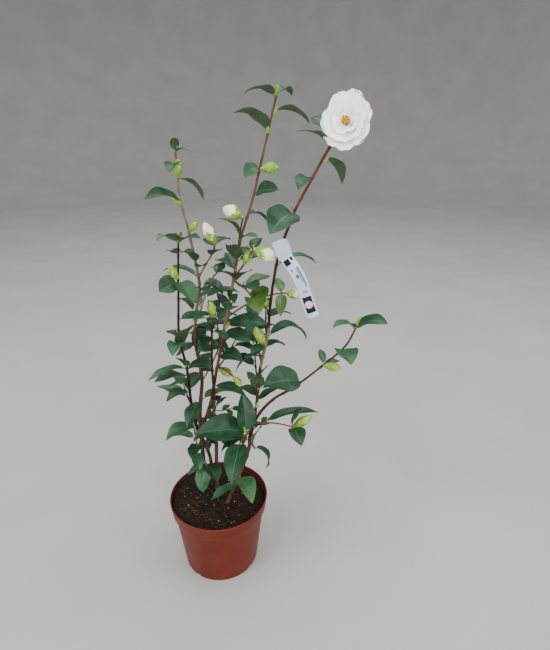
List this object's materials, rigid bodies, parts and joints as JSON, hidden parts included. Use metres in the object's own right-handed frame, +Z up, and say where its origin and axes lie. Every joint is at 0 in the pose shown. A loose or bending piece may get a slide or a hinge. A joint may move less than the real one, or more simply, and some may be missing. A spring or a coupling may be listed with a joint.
{
  "type": "potted camellia shrub",
  "caption": "Upright camellia shrub grown as slender canes in a round nursery pot, with glossy pointed leaves, plump flower buds, an open white flower and a hanging tag.",
  "frame": {"origin": "centre of the flat underside of the pot", "axes": "+Z up along the pot's axis, +X to the right and +Y away from the side the plant is looked at from"},
  "size_m": [0.411, 0.2467, 0.8752],
  "materials": {
    "pot_plastic": "satin",
    "potting_mix": "rough",
    "label_plastic": "satin",
    "bark": "rough",
    "foliage": "glossy"
  },
  "bodies": {
    "root": {"pot": "pot_plastic", "potting_mix": "potting_mix", "label": "label_plastic", "stem_left_centre": "bark", "stem_left": "bark", "stem_inner": "bark", "stem_right": "bark", "stem_centre": "bark", "stem_flower": "bark", "stem_low_right": "bark", "foliage_left": "foliage", "foliage_left_centre": "foliage", "foliage_centre": "foliage", "foliage_centre_top": "foliage", "foliage_inner": "foliage", "foliage_right": "foliage", "foliage_flower": "foliage", "foliage_low_right": "foliage", "foliage_low_spur": "foliage", "foliage_front": "foliage", "foliage_low_left": "foliage", "foliage_low_centre": "foliage", "foliage_right_curl": "foliage", "foliage_foot": "foliage"}
  },
  "joints": []
}
